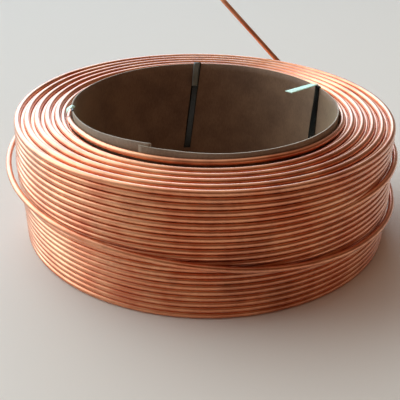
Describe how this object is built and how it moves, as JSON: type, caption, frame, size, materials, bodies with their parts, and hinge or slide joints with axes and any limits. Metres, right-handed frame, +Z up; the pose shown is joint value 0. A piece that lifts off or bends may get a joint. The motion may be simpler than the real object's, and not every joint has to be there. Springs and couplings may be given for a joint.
{
  "type": "copper tube coil",
  "caption": "Level wound coil of soft copper tube on a rolled board core, with its loose outer turn, free tube end and cut packing straps.",
  "frame": {"origin": "centre of the core's bore at the floor that the coil stands on", "axes": "+Z up along the bore's axis; -Y is the front, the side that the picture shows"},
  "size_m": [0.9077, 0.9261, 0.4415],
  "materials": {
    "copper": "bright annealed copper, satin to glossy",
    "board": "plain brown solid board",
    "strap": "glossy black strapping"
  },
  "bodies": {
    "root": {"copper_tube": "copper", "core_sleeve": "board", "strap_back": "strap", "strap_left": "strap", "strap_right": "strap"}
  },
  "joints": []
}
